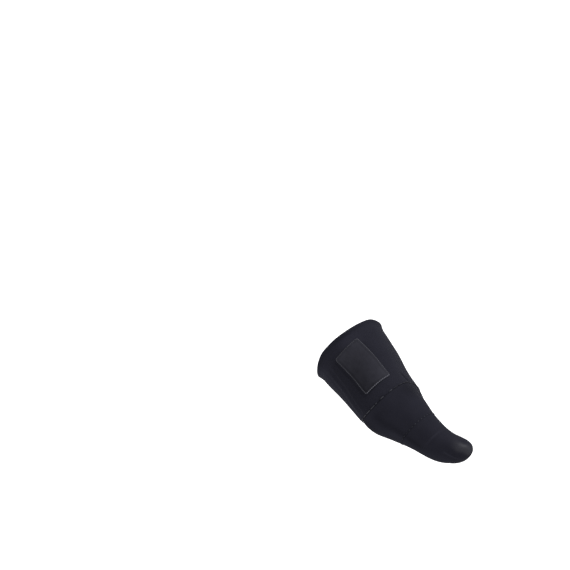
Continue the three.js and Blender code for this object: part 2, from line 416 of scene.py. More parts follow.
band_angle = turns(AROUND)
band_rear, band_front = mouth_edge(band_angle), ball_seam(band_angle)
band_x = band_rear + (band_front - band_rear) * steps(BAND_LENGTH, BAND_ROWS, BAND_TURNED)
band_angle = np.broadcast_to(band_angle, band_x.shape)
band_far, band_left = band_x - band_rear, band_front - band_x
band_walk = walk_round(foot_skin(band_x, band_angle))
band_lift = ease((LAP + LAP_RUN - band_left) / LAP_RUN)
band_hem = HEM_THICK * np.clip(1 - band_far / HEM_WIDTH, 0, 1) ** 2
band_bevel = LAP_BEVEL * seam_depth(band_angle) * ease((LAP_BEVEL_RUN - band_left) / LAP_BEVEL_RUN)
band_outside = FABRIC + band_hem + LAP_RISE * band_lift - band_bevel
band_inside = GAP * band_lift - HEM_FOLD * ease((HEM_FOLD_WIDTH - band_far) / HEM_FOLD)
band_middle = (band_outside + band_inside) / 2 + band_creases(band_x, band_angle, band_walk)
band_half = (band_outside - band_inside) / 2
band_half = band_half * turned_edge(band_far, HEM_EDGE) * turned_edge(band_left, LAP_EDGE)
band_rows = np.concatenate([
    raised(foot_skin, band_x, band_angle, band_middle + band_half),
    raised(foot_skin, band_x, band_angle, band_middle - band_half)[-2:0:-1],
])
# band_pale: edges rubbed pale, paler cloth towards the rear, and painted light on the upper rear and on the
# rim towards the sole.
band_pale = (
    MOUTH_PALE * hump(band_far, MOUTH_PALE_WIDTH)
    + LAP_PALE * hump(band_left, LAP_PALE_WIDTH)
    + HEM_PAINTED_LIGHT * within(band_far, HEM_PAINTED_LIGHT_SPAN) * hump(band_walk - HEM_PAINTED_LIGHT_WALK, HEM_PAINTED_LIGHT_WIDTH)
    + SOLE_PAINTED_LIGHT * hump(half_turns(band_angle) - SOLE_PAINTED_LIGHT_TURN, SOLE_PAINTED_LIGHT_WIDTH)
    + REAR_PALE * ease((REAR_PALE_TO - band_x) / REAR_PALE_RUN)
)
# A painted shadow line on the band just under the label patch.
patch_shadow_line = hump(above_patch_edge(band_x, band_walk) - PATCH_PAINTED_SHADOW_UP, PATCH_PAINTED_SHADOW_WIDTH)
# Painted shade along the side, below the label patch.
side_painted_shade = hump(band_walk - SIDE_PAINTED_SHADE_WALK, SIDE_PAINTED_SHADE_WIDTH)
side_painted_shade = side_painted_shade * ease((band_x - SIDE_PAINTED_SHADE_FROM) / SIDE_PAINTED_SHADE_RUN)
# band_dark: a darker strip inside the mouth, and painted shade along the side, under the label patch and in
# the instep's crease.
band_dark = (
    MOUTH_DARK * hump(band_far - MOUTH_DARK_BACK, MOUTH_DARK_WIDTH)
    + SIDE_PAINTED_SHADE * side_painted_shade
    + PATCH_PAINTED_SHADOW * patch_shadow_line * within(band_x, PATCH_PAINTED_SHADOW_SPAN)
    + TOP_FOLD_PAINTED_SHADE * top_fold(band_x, band_angle)
)
# Rubbed edges together with the painted light and painted shade of the band.
band_wear_and_shade = band_pale - band_dark
band = cloth("midfoot_band_cloth", band_rows, marks={
    "wear_and_shade": np.concatenate([band_wear_and_shade, band_wear_and_shade[-2:0:-1]]),
})


class Shade:
    """A socket of a material's nodes; sums and products of shades and numbers become Math nodes."""

    def __init__(self, tree, socket=None):
        self.tree = tree
        self.socket = socket

    def node(self, kind, settings, values, output=0):
        """Adds a node: its settings first, then the values or links of its sockets."""
        made = self.tree.nodes.new(kind)
        for key, value in settings.items():
            setattr(made, key, value)
        for key, value in values.items():
            if isinstance(value, Shade):
                self.tree.links.new(value.socket, made.inputs[key])
            else:
                made.inputs[key].default_value = value
        return Shade(self.tree, made.outputs[output])

    def sum(self, operation, *values):
        return self.node("ShaderNodeMath", {"operation": operation}, dict(enumerate(values)))

    def __add__(self, other):
        return self.sum("ADD", self, other)

    def __sub__(self, other):
        return self.sum("SUBTRACT", self, other)

    def __rsub__(self, other):
        return self.sum("SUBTRACT", other, self)

    def __mul__(self, other):
        return self.sum("MULTIPLY", self, other)

    __radd__ = __add__
    __rmul__ = __mul__

    def mix(self, low, high):
        """The colour between two, by this share."""
        return self.node("ShaderNodeMix", {"data_type": "RGBA"}, {0: self, 6: (*low, 1), 7: (*high, 1)}, 2)

    def feed(self, shader, name):
        self.tree.links.new(self.socket, shader.inputs[name])


def new_material(piece, name):
    """A piece's material: its shader, and a shade that its nodes start from."""
    material = bpy.data.materials.new(name)
    material.use_nodes = True
    piece.data.materials.append(material)
    tree = material.node_tree
    return tree.nodes["Principled BSDF"], Shade(tree)


def knit(piece, name, dark, light, wales, courses, contrast, grain, roughness, gloss, sheen):
    """Fine jersey: columns of loops along the cloth, a cloudy dye, and a mark for rubbed edges, painted
    light and painted shade.
    """
    shader, start = new_material(piece, name)
    flat = start.node("ShaderNodeUVMap", {"uv_map": "OFBake"}, {})
    across = flat.node("ShaderNodeSeparateXYZ", {}, {0: flat}, 0) * wales
    along = flat.node("ShaderNodeSeparateXYZ", {}, {0: flat}, 1) * courses
    column = across.sum("FRACT", across) - 0.5
    leg = column.sum("ABSOLUTE", column)
    loop = across.sum("SINE", (along + leg * LOOP_LEAN) * (2 * math.pi))
    height = (1 - leg * leg * LOOP_ROUND) * (1 - LOOP_SWELL + LOOP_SWELL * loop)
    place = start.node("ShaderNodeTexCoord", {}, {}, "Object")
    dye = start.node("ShaderNodeTexNoise", {}, {
        "Vector": place, "Scale": DYE_SCALE, "Detail": 4.0, "Roughness": 0.6,
    })
    fibre = start.node("ShaderNodeTexNoise", {}, {"Vector": place, "Scale": FIBRE_SCALE, "Detail": 3.0})
    wear_and_shade = start.node("ShaderNodeAttribute", {"attribute_name": "wear_and_shade"}, {}, "Fac")
    tone = KNIT_TONE + KNIT_DYE * dye + contrast * (height - 0.5 + KNIT_FIBRE * (fibre - 0.5))
    colour = (tone + KNIT_WEAR_AND_SHADE * wear_and_shade).mix(dark, light)
    bumped = start.node("ShaderNodeBump", {}, {
        "Strength": KNIT_BUMP,
        "Distance": grain * METRES,
        "Height": height * KNIT_LOOP_BUMP + fibre * KNIT_FIBRE_BUMP,
    })
    matt = roughness + FIBRE_ROUGHNESS * (fibre - 0.5) + DYE_ROUGHNESS * (dye - 0.5)
    colour.feed(shader, "Base Color")
    matt.feed(shader, "Roughness")
    bumped.feed(shader, "Normal")
    shader.inputs["Specular IOR Level"].default_value = gloss
    shader.inputs["Sheen Weight"].default_value = sheen
    shader.inputs["Sheen Roughness"].default_value = SHEEN_ROUGHNESS
    shader.inputs["Sheen Tint"].default_value = SHEEN_TINT
    return shader


knit(
    band, "band_knit", dark=(0.0073, 0.0073, 0.0104), light=(0.0157, 0.0157, 0.0224),
    wales=280, courses=170, contrast=1.3, grain=0.14, roughness=0.85, gloss=0.01, sheen=0.012,
)
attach(band, "root")
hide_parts("midfoot_band")


# Forefoot panel
# A smoother piece of the same stretch fabric over the ball of the foot, sewn under the band's front edge.
# It narrows from the whole forefoot to the big toe and is cut away for the four small toes.
PANEL_LENGTH = 37
PANEL_ROWS = 60
PANEL_TURNED = 0.6
TOE_SEAM_X = 85
TOE_SEAM_TOP_LEAN = 1.5
TOE_STITCH_BACK = 0.6
SEAM_EDGE = 0.03
ROUND_WEB_TOP = 2.2
ROUND_WEB_SOLE = 2.5
TIP_ROUND_TOP = 4.7
TIP_ROUND_SOLE = 18.7
TIP_ROUND_SIDE = 9.5

# The opening for the small toes, by the sine of the turn towards them.
TOES_BACK = 26
TOES_SINE = 0.7
TOES_HEM_SINE = 0.1

# The rear edge is tucked under the band, lower where the ball seam's groove is deep.
TUCK_DEPTH = 0.25
TUCK_BACK = 0.3
TUCK_BACK_SHALLOW = 0.48
TUCK_RUN = 0.75
TUCK_LEVEL_RUN = 5

# Folds and gathers.
SIDE_FOLD_TURN = math.radians(104)
SIDE_FOLD_DROP = math.radians(0.27)
SIDE_FOLD_WIDTH = 0.16
SIDE_FOLD_SPAN = (BALL_SEAM_X + 2, 6, 106, 12)
SIDE_FOLD_DEPTH = 0.3
PANEL_GATHER = 0.08
PANEL_GATHER_RUN = 4
PANEL_SLANT = 0.1
PANEL_WAVES = 0.14
PANEL_SLACK_RUN = 8
PANEL_FOLDS_FROM = 1
PANEL_FOLDS_RUN = 4
TOE_GATHER = 0.06
TOE_GATHERS = 22
TOE_GATHER_SWAY = 2
TOE_GATHER_SWAYS = 3
TOE_GATHER_RUN = 2.5
WEB_TURN = math.radians(42)
WEB_WIDTH = 0.22
WEB_RUN = 9
WEB_GATHER = 0.16
WEB_GATHERS = 30

# Marks: painted shade under the ball seam, darker and paler cloth past it, the rubbed edge at the toes,
# painted shade in the fold, the toe seam's dark line.
PANEL_SHADES = {
    "shade": (-1.4, -1.5, 0.7),
    "past": (6, 6, 24),
    "length": (7, 7, 7),
    "turn": (5, 145, 127),
    "spread": (0.5, 0.25, 0.15),
}
TOES_PALE = 0.6
TOES_PALE_WIDTH = 1
TOES_PALE_SINE = 0.6
TOES_PALE_RUN = 0.2
# Painted shade in the long fold down the side of the panel and the toe.
SIDE_FOLD_PAINTED_SHADE = 0.8
TOE_SEAM_DARK_WIDTH = 0.5


def closing(x, length):
    """How far a rounded end has closed in: 1 before it starts, 0 at the tip."""
    t = np.clip((x - TIP_X + length) / length, 0, 1)
    return np.sqrt(1 - t * t)


def toe_skin(x, angle):
    """A point round the big toe alone, which closes at the tip."""
    s, c = np.sin(angle), np.cos(angle)
    inner, upper = s >= 0, c >= 0
    inner_round = np.where(upper, ROUND_TOP_INNER, ROUND_SOLE_INNER)
    web_round = np.where(upper, ROUND_WEB_TOP, ROUND_WEB_SOLE)
    fullness = np.where(inner, inner_round, web_round)
    crown = foot("crown", x)
    level = waist(x)
    reach = np.where(inner, crown - foot("inner", x), foot("web", x) - crown)
    height = np.where(upper, foot("top", x) - level, level - foot("sole", x))
    reach = reach * closing(x, TIP_ROUND_SIDE)
    height = height * np.where(upper, closing(x, TIP_ROUND_TOP), closing(x, TIP_ROUND_SOLE))
    across = crown - bend(s, fullness) * reach
    return np.stack(np.broadcast_arrays(x, across, level + bend(c, fullness) * height), -1)


def toe_seam(angle):
    return TOE_SEAM_X + TOE_SEAM_TOP_LEAN * np.cos(angle)


def panel_edge(angle):
    """The panel's front edge: the toe seam round to the web, then the opening for the small toes."""
    past = (-np.sin(angle) - TOES_SINE) / (1 - TOES_SINE)
    return toe_seam(angle) - TOES_BACK * ease(past)


def panel_skin(x, angle):
    share = ease((x - BALL_SEAM_X) / (toe_seam(angle) - BALL_SEAM_X))[..., None]
    return foot_skin(x, angle) * (1 - share) + toe_skin(x, angle) * share


def side_fold(x, angle):
    """A long soft fold from the ball of the foot to the side of the big toe."""
    off = angle - SIDE_FOLD_TURN - SIDE_FOLD_DROP * (x - BALL_SEAM_X)
    return hump(off, SIDE_FOLD_WIDTH) * within(x, SIDE_FOLD_SPAN)


def toe_gathers(angle, distance):
    """Small gathers on both sides of the seam at the toe's root."""
    wave = np.sin(angle * TOE_GATHERS + TOE_GATHER_SWAY * np.sin(angle * TOE_GATHER_SWAYS))
    return TOE_GATHER * wave * np.exp(-distance / TOE_GATHER_RUN)


panel_angle = turns(AROUND)
panel_seam, panel_front = ball_seam(panel_angle), panel_edge(panel_angle)
panel_rear = panel_seam - LAP + GAP
panel_x = panel_rear + (panel_front - panel_rear) * steps(PANEL_LENGTH, PANEL_ROWS, PANEL_TURNED)
panel_angle = np.broadcast_to(panel_angle, panel_x.shape)
panel_past, panel_left = panel_x - panel_seam, panel_front - panel_x
panel_signed = half_turns(panel_angle)
panel_groove = seam_depth(panel_angle)
panel_walk = walk_round(panel_skin(panel_x, panel_angle))
panel_gather = PANEL_GATHER * gathers(panel_walk) * np.exp(-np.abs(panel_past) / PANEL_GATHER_RUN)
panel_gather = panel_gather + toe_gathers(panel_angle, panel_left)
panel_slack = np.sin(panel_angle * LOOSE_FOLDS + panel_x * PANEL_SLANT) * np.sin(panel_x * PANEL_WAVES)
panel_slack = LOOSE * panel_slack * ease(panel_left / PANEL_SLACK_RUN)
panel_web = hump(np.abs(panel_signed + math.pi / 2) - WEB_TURN, WEB_WIDTH) * np.exp(-panel_left / WEB_RUN)
panel_web = WEB_GATHER * np.sin(panel_angle * WEB_GATHERS) * panel_web
panel_folds = panel_gather + panel_slack + panel_web
panel_folds = panel_folds * ease((panel_past - PANEL_FOLDS_FROM) / PANEL_FOLDS_RUN)
panel_fold = side_fold(panel_x, panel_angle)
panel_start = 1 - TUCK_DEPTH * panel_groove
panel_tuck = TUCK_BACK + TUCK_BACK_SHALLOW * (1 - panel_groove)
panel_rise = panel_start * ease((panel_past + panel_tuck) / TUCK_RUN)
panel_rise = panel_rise + (1 - panel_start) * ease(panel_past / TUCK_LEVEL_RUN)
panel_middle = FABRIC * panel_rise - FABRIC / 2 + panel_folds - SIDE_FOLD_DEPTH * panel_fold
panel_open = ease((-np.sin(panel_angle) - TOES_SINE) / TOES_HEM_SINE)
panel_half = FABRIC / 2 * turned_edge(panel_x - panel_rear, FABRIC)
panel_half = panel_half * turned_edge(panel_left, SEAM_EDGE + (FABRIC - SEAM_EDGE) * panel_open)
panel_rows = np.concatenate([
    raised(panel_skin, panel_x, panel_angle, panel_middle + panel_half),
    raised(panel_skin, panel_x, panel_angle, panel_middle - panel_half)[-2:0:-1],
])
# Painted shadow on the underside just past the ball seam; the top there is darker and the lower side
# further on paler.
panel_shade = sum(
    shade * hump(panel_past - past, length) * hump(panel_signed - math.radians(turn), spread)
    for shade, past, length, turn, spread in zip(*PANEL_SHADES.values())
)
panel_rubbed = ease((-np.sin(panel_angle) - TOES_PALE_SINE) / TOES_PALE_RUN)
panel_rubbed = panel_rubbed * hump(panel_left, TOES_PALE_WIDTH)
panel_sewn = hump(panel_left - TOE_STITCH_BACK, TOE_SEAM_DARK_WIDTH) * (1 - panel_open)
# The panel's mark: rubbed toe edge, the toe seam's dark line, and painted shade past the seam and in the
# fold.
panel_wear_and_shade = panel_shade + TOES_PALE * panel_rubbed - SIDE_FOLD_PAINTED_SHADE * panel_fold - panel_sewn
panel = cloth("forefoot_panel_cloth", panel_rows, marks={
    "wear_and_shade": np.concatenate([panel_wear_and_shade, panel_wear_and_shade[-2:0:-1]]),
})
knit(
    panel, "panel_knit", dark=(0.0074, 0.0074, 0.0106), light=(0.0152, 0.0152, 0.0216),
    wales=270, courses=125, contrast=0.4, grain=0.07, roughness=0.82, gloss=0.01, sheen=0.006,
)
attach(panel, "root")
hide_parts("forefoot_panel")


# Toe pocket
# A closed tube for the big toe, sewn to the panel at the toe's root and drawn smooth over the nail.
# A flat seam closes its tip low on the big-toe side; the joint of the toe leaves one small crease.
POCKET_LENGTH = 60
POCKET_TURNED = 0.75
POCKET_ROWS = 68
POCKET_TIP_SHARE = 0.88
TIP_ROWS = 12
TIP_LEFT = (0.11, 0.004)
TIP_SPARE = 0.3
TOE_RADIUS = 14
NAIL_X = 107
NAIL_RUN = 7
NAIL_TURN = math.radians(22)
NAIL_HALF = 1
NAIL_FADE = 0.6
NAIL_RISE = 0.3
CREASE_X = 100.4
CREASE_LEAN = 1.2
CREASE_WIDTH = 0.6
CREASE_DIP = 0.7
CREASE_DIP_PAST = 1.7
CREASE_DIP_WIDTH = 0.9
CREASE_TURN = math.radians(68)
CREASE_SPREAD = 0.55
CREASE_RISE = 0.45
# Painted highlight along the ridge of the crease.
CREASE_PAINTED_HIGHLIGHT = 1.7
TIP_SEAM = {"x": (113, 124.5), "turn": (101, 119)}
TIP_SEAM_WIDTH = 0.55
TIP_SEAM_FROM = -0.1
TIP_SEAM_RUN = 0.2
TIP_SEAM_STOP = 1.05
TIP_SEAM_RISE = 0.3
# Painted highlight along the ridge of the tip's seam.
TIP_SEAM_PAINTED_HIGHLIGHT = 1.2

# Where the cloth is drawn tightest over the nail it has a soft glint.
GLINT_X = 122
GLINT_LENGTH = 6.5
GLINT_HEIGHT = 2
GLINT_DEPTH = 2.4
GLINT_EDGE = 1.5
GLINT_RISE = 1.6
GLINT_RISE_X = 119
GLINT_RISE_RUN = 4
GLINT_END = -26
GLINT_FADE = 10
GLINT_COAT = 0.36
GLINT_ROUGHNESS = 0.5


def pocket_skin(turn, angle):
    root = toe_seam(angle)
    return toe_skin(root + (TIP_X - root) * np.sin(turn), angle)


def pocket_relief(x, angle):
    """The nail's plate, the crease of the joint, and the ridge of the tip's seam."""
    signed = half_turns(angle)
    nail = ease((x - NAIL_X) / NAIL_RUN) * ease((NAIL_HALF - np.abs(signed - NAIL_TURN)) / NAIL_FADE)
    past = x - CREASE_X - CREASE_LEAN * np.cos(signed)
    crease = hump(past, CREASE_WIDTH) - CREASE_DIP * hump(past - CREASE_DIP_PAST, CREASE_DIP_WIDTH)
    crease = crease * hump(signed - CREASE_TURN, CREASE_SPREAD)
    (seam_from, seam_to), (turn_from, turn_to) = TIP_SEAM.values()
    share = (x - seam_from) / (seam_to - seam_from)
    off = TOE_RADIUS * (signed - np.radians(turn_from + (turn_to - turn_from) * share))
    seam = hump(off, TIP_SEAM_WIDTH) * ease((share - TIP_SEAM_FROM) / TIP_SEAM_RUN)
    return nail, crease, seam * (share < TIP_SEAM_STOP)


pocket_share = np.concatenate([
    edge_steps(POCKET_LENGTH, POCKET_TURNED),
    np.linspace(POCKET_TURNED / POCKET_LENGTH, POCKET_TIP_SHARE, POCKET_ROWS),
    1 - np.geomspace(*TIP_LEFT, TIP_ROWS),
])
pocket_turn, pocket_angle = np.broadcast_arrays(pocket_share[:, None] * math.pi / 2, turns(AROUND))
pocket_bare = pocket_skin(pocket_turn, pocket_angle)
pocket_x, pocket_y, pocket_z = np.moveaxis(pocket_bare, -1, 0)
pocket_nail, pocket_crease, pocket_seam = pocket_relief(pocket_x, pocket_angle)
pocket_far = pocket_x - toe_seam(pocket_angle)
pocket_fold = side_fold(pocket_x, pocket_angle)
pocket_middle = FABRIC / 2 + NAIL_RISE * pocket_nail + CREASE_RISE * pocket_crease
pocket_middle = pocket_middle + toe_gathers(pocket_angle, pocket_far) - SIDE_FOLD_DEPTH * pocket_fold
pocket_half = FABRIC / 2 * turned_edge(pocket_far, SEAM_EDGE)
pocket_face = pocket_middle + pocket_half + TIP_SEAM_RISE * pocket_seam
pocket_outside = raised(pocket_skin, pocket_turn, pocket_angle, pocket_face)
pocket_inside = raised(pocket_skin, pocket_turn, pocket_angle, pocket_middle - pocket_half)
pocket_rows = np.concatenate([pocket_inside[:0:-1], pocket_outside])
pocket_tip = toe_skin(np.array(TIP_X, float), np.array(0.0))
pocket_ends = [pocket_tip + [TIP_SPARE, 0, 0], pocket_tip + [TIP_SPARE + FABRIC, 0, 0]]
# Painted highlights on the ridges of the tip's seam and the crease, and painted shade in the side fold.
pocket_painted_shading = TIP_SEAM_PAINTED_HIGHLIGHT * pocket_seam + CREASE_PAINTED_HIGHLIGHT * np.maximum(pocket_crease, 0)
pocket_painted_shading = pocket_painted_shading - SIDE_FOLD_PAINTED_SHADE * pocket_fold
glint_off = pocket_z - GLINT_HEIGHT - GLINT_RISE * ease((pocket_x - GLINT_RISE_X) / GLINT_RISE_RUN)
pocket_tight = hump(pocket_x - GLINT_X, GLINT_LENGTH) * ease((GLINT_END - pocket_y) / GLINT_FADE)
pocket_tight = pocket_tight * hump(np.abs(glint_off / GLINT_DEPTH) ** GLINT_EDGE, 1)
inside_plain = np.zeros((len(pocket_inside) - 1, AROUND))
pocket = cloth("toe_pocket_cloth", pocket_rows, ends=pocket_ends, marks={
    "wear_and_shade": np.concatenate([inside_plain, pocket_painted_shading]),
    "tight": np.concatenate([inside_plain, pocket_tight]),
})
pocket_shader = knit(
    pocket, "pocket_knit", dark=(0.0072, 0.0072, 0.0103), light=(0.0158, 0.0158, 0.0224),
    wales=110, courses=170, contrast=0.5, grain=0.08, roughness=0.82, gloss=0.01, sheen=0.006,
)
tight = Shade(pocket_shader.id_data).node("ShaderNodeAttribute", {"attribute_name": "tight"}, {}, "Fac")
(tight * GLINT_COAT).feed(pocket_shader, "Coat Weight")
pocket_shader.inputs["Coat Roughness"].default_value = GLINT_ROUGHNESS
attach(pocket, "root")
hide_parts("toe_pocket")


# Seam stitches
# Grey thread that holds the three pieces together: long stitches over the band's front edge at the ball
# of the foot, and small ones round the root of the big toe, each rising out of the cloth and dipping back.
BALL_STITCHES = {"walk": (-13.8, -8.7, -3.4, 0.4, 6.4, 14.8), "length": (4.9, 4.8, 5, 1.5, 3.4, 2.8)}
BALL_STITCH_WIDTH = 0.75
TOP_STITCH_FROM = 20
TOP_STITCH_WIDTH = 0.5
TOP_STITCH_WORN = -0.35
SOLE_STITCH_FROM = 19.4
SOLE_STITCH_TO = 160
SOLE_STITCH_PITCH = 5.2
SOLE_STITCH = 4.8
TOE_STITCH_FROM = -44
TOE_STITCH_TO = 224
TOE_STITCH_PITCH = 3
TOE_STITCH = 1.6
TOE_STITCH_WIDTH = 0.7
TOE_STITCH_WORN = -0.4
TOE_PALE_TURN = math.radians(55)
TOE_PALE_HALF = 0.4
TOE_PALE_FADE = 0.2
TURN_STEP = 0.5
STITCH_SIDES = 8
STITCH_RINGS = 9
STITCH_END = 0.05
STITCH_RISE = 0.4
STITCH_SINK = 0.3
STITCH_FLAT = 0.8
TWIST_SCALE = 700.0
FADE_SCALE = 160.0
THREAD_DARK = 0.08
THREAD_TWIST = 0.3
THREAD_FADE = 0.6
THREAD_BUMP = 0.4
THREAD_BUMP_HEIGHT = 0.06
THREAD_ROUGHNESS = 0.6
FADE_ROUGHNESS = 0.2
THREAD_GLOSS = 0.05


def walked(path):
    return np.concatenate([[0], np.cumsum(np.linalg.norm(np.diff(path, axis=0), axis=1))])


def stitches(name, path, normal, places, lengths, widths, worn):
    """Stitches of thread along a path that lies on the cloth, at places walked along it."""
    far = walked(path)
    share = np.linspace(0, 1, STITCH_RINGS)
    side = np.radians(np.arange(STITCH_SIDES) * 360 / STITCH_SIDES)
    full = np.sqrt(np.clip(1 - (2 * share - 1) ** 4, 0, 1)) * (1 - STITCH_END) + STITCH_END
    rise = STITCH_RISE * np.sqrt(np.sin(np.pi * share)) - STITCH_SINK
    points, faces = [], []
    for place, length, width in zip(places, lengths, widths):
        at = place + (share - 0.5) * length
        middle = np.stack([np.interp(at, far, path[:, i]) for i in range(3)], -1)
        up = np.stack([np.interp(at, far, normal[:, i]) for i in range(3)], -1)
        up /= np.linalg.norm(up, axis=1, keepdims=True)
        over = np.cross(np.gradient(middle, axis=0), up)
        over /= np.linalg.norm(over, axis=1, keepdims=True)
        middle = middle + up * width * rise[:, None]
        half = width / 2 * full[:, None, None]
        ring = middle[:, None] + over[:, None] * np.cos(side)[:, None] * half
        ring = ring + up[:, None] * np.sin(side)[:, None] * half * STITCH_FLAT
        first = len(points)
        points += ring.reshape(-1, 3).tolist()
        for r in range(STITCH_RINGS - 1):
            for s in range(STITCH_SIDES):
                a = first + r * STITCH_SIDES + s
                b = first + r * STITCH_SIDES + (s + 1) % STITCH_SIDES
                faces.append([a, a + STITCH_SIDES, b + STITCH_SIDES, b])
        faces.append([first + s for s in range(STITCH_SIDES)])
        faces.append([len(points) - 1 - s for s in range(STITCH_SIDES)])
    piece = new_piece(name, points, faces)
    mark(piece, "worn", np.repeat(worn, STITCH_RINGS * STITCH_SIDES))
    return piece


def thread(piece, name, dark, light):
    """Twisted sewing thread: pale strands with darker lines between them."""
    shader, start = new_material(piece, name)
    place = start.node("ShaderNodeTexCoord", {}, {}, "Object")
    twist = start.node("ShaderNodeTexWave", {"bands_direction": "DIAGONAL"}, {
        "Vector": place, "Scale": TWIST_SCALE, "Distortion": 2.0, "Detail": 2.0,
    }, "Fac")
    faded = start.node("ShaderNodeTexNoise", {}, {"Vector": place, "Scale": FADE_SCALE, "Detail": 2.0})
    worn = start.node("ShaderNodeAttribute", {"attribute_name": "worn"}, {}, "Fac")
    colour = (THREAD_TWIST * twist + THREAD_FADE * faded + worn - THREAD_DARK).mix(dark, light)
    bumped = start.node("ShaderNodeBump", {}, {
        "Strength": THREAD_BUMP, "Distance": THREAD_BUMP_HEIGHT * METRES, "Height": twist,
    })
    colour.feed(shader, "Base Color")
    (THREAD_ROUGHNESS + FADE_ROUGHNESS * faded).feed(shader, "Roughness")
    bumped.feed(shader, "Normal")
    shader.inputs["Specular IOR Level"].default_value = THREAD_GLOSS


seam_angle = np.radians(np.arange(0, 361, TURN_STEP))
seam_x = ball_seam(seam_angle) - BALL_STITCH_BACK
seam_walk = walk_round(foot_skin(seam_x, seam_angle)[None])[0]
seam_lift = FABRIC + LAP_RISE + band_creases(seam_x, seam_angle, seam_walk)
seam_loop = raised(foot_skin, seam_x, seam_angle, seam_lift)
seam_up = normal_of(foot_skin, seam_x, seam_angle)
half_turn = len(seam_angle) // 2
seam_path = np.concatenate([seam_loop[half_turn:-1], seam_loop])
seam_far = walked(seam_path)
seam_side = seam_far[half_turn + half_turn // 2]
top_stitch_to = seam_far[-1] - seam_far[half_turn] - SOLE_STITCH_TO
sole_walk = np.arange(SOLE_STITCH_FROM, SOLE_STITCH_TO, SOLE_STITCH_PITCH)
top_walk = np.arange(TOP_STITCH_FROM, top_stitch_to, SOLE_STITCH_PITCH)
side_count = len(BALL_STITCHES["walk"]) + len(sole_walk)
ball_stitches = stitches(
    "ball_seam_thread", seam_path, np.concatenate([seam_up[half_turn:-1], seam_up]),
    np.concatenate([seam_side - BALL_STITCHES["walk"], seam_side + sole_walk, seam_side - top_walk]),
    np.concatenate([BALL_STITCHES["length"], np.full(len(sole_walk) + len(top_walk), SOLE_STITCH)]),
    np.repeat([BALL_STITCH_WIDTH, TOP_STITCH_WIDTH], [side_count, len(top_walk)]),
    np.repeat([0, TOP_STITCH_WORN], [side_count, len(top_walk)]),
)
thread(ball_stitches, "seam_thread", dark=(0.015, 0.015, 0.019), light=(0.055, 0.055, 0.066))
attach(ball_stitches, "root")

root_angle = np.radians(np.arange(TOE_STITCH_FROM, TOE_STITCH_TO + TURN_STEP, TURN_STEP))
root_x = toe_seam(root_angle) - TOE_STITCH_BACK
root_path = raised(panel_skin, root_x, root_angle, np.full(root_x.shape, FABRIC))
root_worn = TOE_STITCH_WORN * ease((np.abs(root_angle - TOE_PALE_TURN) - TOE_PALE_HALF) / TOE_PALE_FADE)
root_far = walked(root_path)
root_places = np.arange(TOE_STITCH_PITCH / 2, root_far[-1], TOE_STITCH_PITCH)
root_count = len(root_places)
toe_stitches = stitches(
    "toe_seam_thread", root_path, normal_of(panel_skin, root_x, root_angle), root_places,
    np.full(root_count, TOE_STITCH), np.full(root_count, TOE_STITCH_WIDTH),
    np.interp(root_places, root_far, root_worn),
)
thread(toe_stitches, "toe_thread", dark=(0.012, 0.012, 0.016), light=(0.035, 0.035, 0.045))
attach(toe_stitches, "root")


# Label patch
# A bare oblong of close-woven black tape with rounded corners, laid on the band's big-toe side
# and sewn down along its edge with grey thread.
PATCH_X = 27.5
PATCH_UP = 7.9
PATCH_LENGTH = 37.6
PATCH_WIDTH = 21.9
PATCH_CORNER = 1.8
PATCH_THICK = 0.6
PATCH_TILT = math.radians(6)
PATCH_RAKE = 0.085
PATCH_ROWS = 30
PATCH_COLUMNS = 60
PATCH_TURNED = 0.3
PATCH_TURN_FROM = -30
PATCH_TURN_TO = 210
# Painted light and shade on the label patch: lighter along its top and rear, darkest low at the front.
PATCH_PAINTED_LIGHT_TOP = 0.44
PATCH_PAINTED_LIGHT_REAR = 0.3
PATCH_PAINTED_LIGHT_CORNER = 0.8
# Painted shade in a groove just inside the border thread.
GROOVE_INSET = 1.7
GROOVE_WIDTH = 0.45
GROOVE_PAINTED_SHADE = 0.3
BORDER_INSET = 0.4
BORDER_PITCH = 1.5
BORDER_STITCH = 1.35
BORDER_WIDTH = 0.6
BORDER_POINTS = 400
# The border thread's tone: a little darker overall, back to plain along the top, and much paler across the
# front.
BORDER_TONE = -0.1
BORDER_TOP_PALER = 0.1
BORDER_TOP_FROM = 0.45
BORDER_FRONT_PALER = 0.75
BORDER_FRONT_FROM = 0.47
TAPE_DYE_SCALE = 260.0
TAPE_TONE = 0.1
TAPE_DYE = 0.7
TAPE_RIB = 0.7
TAPE_WEAVE = 0.35
TAPE_BUMP = 0.5
TAPE_BUMP_HEIGHT = 0.1
TAPE_ROUGHNESS = 0.55
TAPE_DYE_ROUGHNESS = 0.25
TAPE_GLOSS = 0.03


def walked_angle(x, walk):
    """The angle reached by walking round a section from its widest place, upwards for a positive walk."""
    angle = np.radians(np.arange(PATCH_TURN_FROM, PATCH_TURN_TO + TURN_STEP, TURN_STEP))
    points = foot_skin(x[..., None], angle)
    step = np.linalg.norm(np.diff(points, axis=-2), axis=-1)
    far = np.concatenate([np.zeros((*x.shape, 1)), np.cumsum(step, axis=-1)], -1)
    quarter = np.searchsorted(angle, math.pi / 2)
    wanted = far[..., quarter] - walk
    flat = zip(wanted.ravel(), far.reshape(-1, len(angle)))
    return np.array([np.interp(w, f, angle) for w, f in flat]).reshape(x.shape)


def patch_place(u, v):
    x = PATCH_X + u * math.cos(PATCH_TILT) + v * PATCH_RAKE
    walk = PATCH_UP + u * math.sin(PATCH_TILT) + v
    return x, walked_angle(x, walk), walk


def patch_point(u, v, height):
    x, angle, walk = patch_place(u, v)
    return raised(foot_skin, x, angle, height + band_creases(x, angle, walk))


